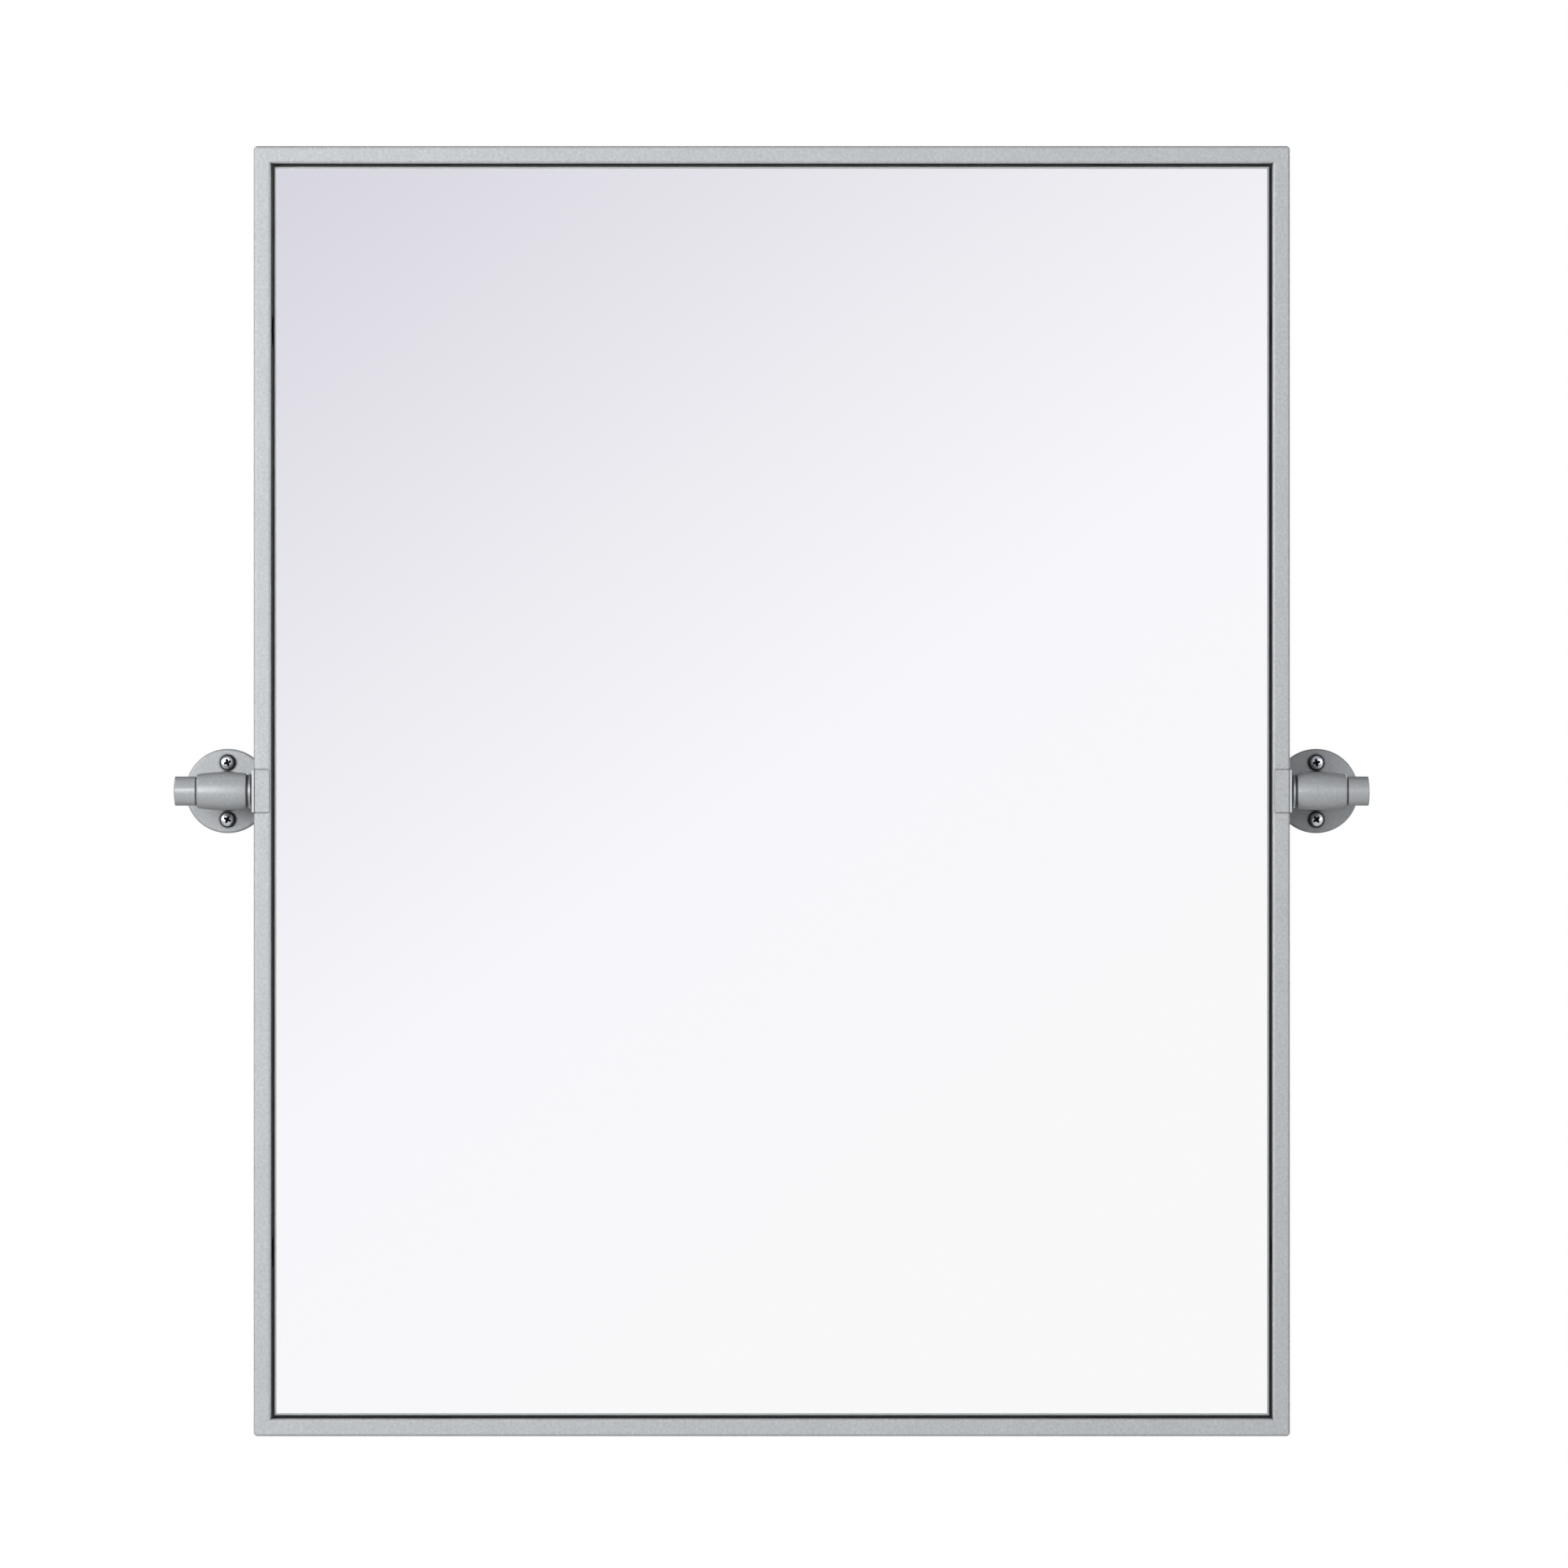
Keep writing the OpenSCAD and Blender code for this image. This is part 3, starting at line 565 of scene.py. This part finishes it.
def darken_head(mesh, head_r, head_h, seat):
    """Gives the second material, a dark steel that paints shade, to the recess and to the head's side.
    """
    for face in mesh.polygons:
        away = math.hypot(face.center.x, face.center.y)
        sunk = seat + pan_height(head_r, head_h, away) - face.center.z > SUNK_SHARE * head_h
        in_recess = sunk and away < RECESS_REACH * head_r and face.center.z > seat
        on_side = away > HEAD_SHADE_FROM * head_r
        # the recess and the head's side take the painted shade
        face.material_index = int(in_recess or on_side)


def places_of(node, reach):
    """Middles of a node's separate solids, seen along Y: points within `reach` belong together."""
    groups = []
    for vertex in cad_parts[node].data.vertices:
        spot = Vector((vertex.co.x, vertex.co.z))
        for group in groups:
            if (group[0] - spot).length < reach:
                group.append(spot)
                break
        else:
            groups.append([spot])
    middles = []
    for group in groups:
        xs = [spot.x for spot in group]
        zs = [spot.y for spot in group]
        middles.append(((min(xs) + max(xs)) / 2, (min(zs) + max(zs)) / 2))
    return middles


def screw_group(name, node, template, seats, materials):
    """One piece for a node's screws. seats are (x, y, z, turn in degrees, head towards -Y or +Y)."""
    bm = bmesh.new()
    for x, y, z, turn, facing in seats:
        stand = Matrix.Rotation(-facing * math.pi / 2, 4, "X")
        spin = Matrix.Rotation(math.radians(turn), 4, "Z")
        before = len(bm.verts)
        bm.from_mesh(template)
        bm.verts.ensure_lookup_table()
        bmesh.ops.transform(bm, matrix=Matrix.Translation((x, y, z)) @ stand @ spin,
                            verts=bm.verts[before:])
    mesh = bpy.data.meshes.new(name)
    bm.to_mesh(mesh)
    bm.free()
    mesh.shade_smooth()
    mesh.set_sharp_from_angle(angle=SMOOTH_ANGLE)
    for material in materials:
        mesh.materials.append(material)
    piece = bpy.data.objects.new(name, mesh)
    bpy.context.scene.collection.objects.link(piece)
    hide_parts(node)
    return piece


# ---------- studio ----------
def studio_world():
    """White for the camera, fading to lavender grey in reflections, and soft light on what is matt."""
    world = bpy.data.worlds.new("studio")
    bpy.context.scene.world = world
    world.use_nodes = True
    world.node_tree.nodes.clear()
    s = Nodes(world.node_tree)
    direction = s.add("ShaderNodeTexCoord").outputs["Generated"]
    camera_ray = s.ray("Is Camera Ray")
    openness = open_share(s, direction)
    background = s.add("ShaderNodeBackground")
    s.feed(background.inputs["Color"], s.mix(camera_ray, reflected_colour(s, direction), WHITE))
    s.feed(background.inputs["Strength"], s.math("MAXIMUM", openness, camera_ray))
    ambient = s.add("ShaderNodeBackground")
    s.feed(ambient.inputs["Color"], linear((250, 252, 255)))
    s.feed(ambient.inputs["Strength"], s.math("MULTIPLY", openness, AMBIENT))
    blend = s.add("ShaderNodeMixShader")
    s.link(s.ray(*BACKGROUND_RAYS), blend.inputs[0])
    s.link(ambient.outputs[0], blend.inputs[1])
    s.link(background.outputs[0], blend.inputs[2])
    s.link(blend.outputs[0], s.add("ShaderNodeOutputWorld").inputs["Surface"])


def reflected_colour(s, direction):
    """The studio's fade along FADE_AXIS."""
    along = s.add("ShaderNodeVectorMath", operation="DOT_PRODUCT")
    s.link(direction, along.inputs[0])
    along.inputs[1].default_value = FADE_AXIS
    first, last = FADE_STOPS[0][0], FADE_STOPS[-1][0]
    ramp = s.add("ShaderNodeValToRGB")
    s.link(s.remap(along.outputs["Value"], first, last, 0, 1), ramp.inputs["Fac"])
    stops = ramp.color_ramp.elements
    for place, _ in FADE_STOPS[1:-1]:
        stops.new((place - first) / (last - first))
    for stop, (_, colour) in zip(stops, FADE_STOPS):
        stop.color = linear(colour)
    return ramp.outputs["Color"]


def open_share(s, direction):
    """1 in front of the mirror or beside it, down to DULL_SHARE above, below and behind it."""
    towards = s.axes(direction)
    ahead = s.math("MULTIPLY", towards["Y"], -1)
    beside = s.math("ABSOLUTE", towards["X"])
    return s.remap(s.math("MAXIMUM", ahead, beside), DULL_TO, DULL_FROM, DULL_SHARE, 1, smooth=True)


def soft_light(name, place, size, power):
    """A rectangular lamp that faces the origin, on the wall plane behind the mirror's middle."""
    lamp = bpy.data.lights.new(name, "AREA")
    lamp.shape = "RECTANGLE"
    lamp.size, lamp.size_y = size
    lamp.energy = power
    light = bpy.data.objects.new(name, lamp)
    light.location = place
    light.rotation_euler = (-place).to_track_quat("-Z", "Y").to_euler()
    bpy.context.scene.collection.objects.link(light)


def pale_floor():
    """A round floor below the mirror, which takes its shadow."""
    bm = bmesh.new()
    bmesh.ops.create_circle(bm, cap_ends=True, segments=96, radius=FLOOR_RADIUS)
    mesh = bpy.data.meshes.new("floor")
    bm.to_mesh(mesh)
    bm.free()
    floor = bpy.data.objects.new("floor", mesh)
    floor.location = (0, 0, cad_low.z - FLOOR_DROP)
    bpy.context.scene.collection.objects.link(floor)
    mesh.materials.append(floor_finish())


def floor_finish():
    """Matt floor that keeps shadows; what is seen of it is lifted towards white, fully at its rim."""
    s = Shader("pale_floor")
    s.set(Base_Color=linear((150, 150, 151)), Roughness=0.85, Specular_IOR_Level=0.1)
    away = s.add("ShaderNodeVectorMath", operation="LENGTH")
    s.link(s.place, away.inputs[0])
    lift = s.remap(away.outputs["Value"], FLOOR_LIFT_FROM, FLOOR_LIFT_TO, FLOOR_LIFT, 1)
    white = s.add("ShaderNodeEmission")
    blend = s.add("ShaderNodeMixShader")
    s.link(s.math("MULTIPLY", lift, s.ray(*BACKGROUND_RAYS)), blend.inputs[0])
    s.link(s.surface.outputs[0], blend.inputs[1])
    s.link(white.outputs[0], blend.inputs[2])
    s.link(blend.outputs[0], s.tree.nodes["Material Output"].inputs["Surface"])
    return s.material


def photo_camera():
    """The camera that took the photograph, as far as the photograph shows."""
    data = bpy.data.cameras.new("camera")
    data.sensor_width = SENSOR_WIDTH
    data.lens = SENSOR_WIDTH * CAMERA_DISTANCE / PHOTO_SPAN
    camera = bpy.data.objects.new("camera", data)
    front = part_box("frame_rail_top")[0].y
    camera.location = (CAMERA_X, front - CAMERA_DISTANCE, CAMERA_Z)
    camera.rotation_euler = (math.pi / 2, 0, 0)
    bpy.context.scene.collection.objects.link(camera)
    bpy.context.scene.camera = camera


# ---------- the part ----------
def paint_nodes():
    """Gives every carried CAD node its finish, by the record's slots."""
    finishes = {
        "frame_paint": sparkle_paint("frame_paint_sparkle", (191, 194, 196), 0.50, 0.01 * MM, 0.10),
        "bracket_paint": sparkle_paint("bracket_paint_sparkle", (181, 184, 186), 0.45, 0.05 * MM, 0.05),
        "mirror_glass": mirror_silver(),
        "foam_tape": grey_foam(),
        "backing_board": black_backing(),
        "zinc_steel": zinc_plate(),
        "bright_washer": bright_washer(),
        "black_nylon": black_nylon(),
    }
    special = {
        # the saddle clips' paint carries a painted highlight along the front edge of the side plate
        "saddle_clip": sparkle_paint("clip_paint_sparkle", (188, 191, 193), 0.50, 0.01 * MM, 0.08,
                                     edge_highlight=True),
        "knob": sparkle_paint("knob_paint_sparkle", (184, 187, 189), 0.34, 0.01 * MM, 0.04),
    }
    for name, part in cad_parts.items():
        own = special.get(name.rsplit("_", 1)[0])
        for slot in part.material_slots:
            if slot.material.name in finishes:
                slot.material = own or finishes[slot.material.name]
    return finishes


def wall_screws(materials):
    """Detailed screws in the rosettes, threaded beyond the wall plane."""
    for side, turns in WALL_SCREW_TURNS.items():
        node = "wall_screws_" + side
        low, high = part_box(node)
        template = phillips_screw("wall_screw", WALL_SCREW, -low.y - ROSETTE_T, ROSETTE_T, high.y)
        middle = (low.x + high.x) / 2
        offset = (high.z - low.z) / 2 - WALL_SCREW["head_r"]
        seats = [(middle, 0, z, turn, -1) for z, turn in zip((offset, -offset), turns)]
        piece = screw_group(node + "_phillips", node, template, seats, materials)
        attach(piece, "wall_brackets")


def clip_screws(materials):
    """Detailed screws that hold the offset clips."""
    for node in ("rail_screws", "board_screws"):
        low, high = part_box(node)
        head_h = (high - low).y - CLIP_SCREW_LENGTH
        template = phillips_screw("clip_screw", CLIP_SCREW, head_h, CLIP_SCREW_SEAT,
                                  CLIP_SCREW_LENGTH - CLIP_SCREW_SEAT)
        base = high.y - head_h - CLIP_SCREW_SEAT
        seats = [(x, base, z, CLIP_SCREW_TURN * i, 1)
                 for i, (x, z) in enumerate(places_of(node, 3 * CLIP_SCREW["head_r"]))]
        piece = screw_group(node + "_phillips", node, template, seats, materials)
        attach(piece, "mirror")


finishes = paint_nodes()
# a dark steel that paints the shade in the recesses and on the heads' sides
shaded_steel = screw_steel("screw_steel_painted_shade", (34, 35, 37), (58, 60, 62), 0.5)
wall_screws([screw_steel("screw_steel_bright", (168, 172, 176), (206, 209, 212), 0.26), shaded_steel])
clip_screws([finishes["zinc_steel"], shaded_steel])
studio_world()
for name, place, size, power in LAMPS:
    soft_light(name, Vector(place), size, power)
pale_floor()
photo_camera()
bpy.context.scene.view_settings.view_transform = "Standard"
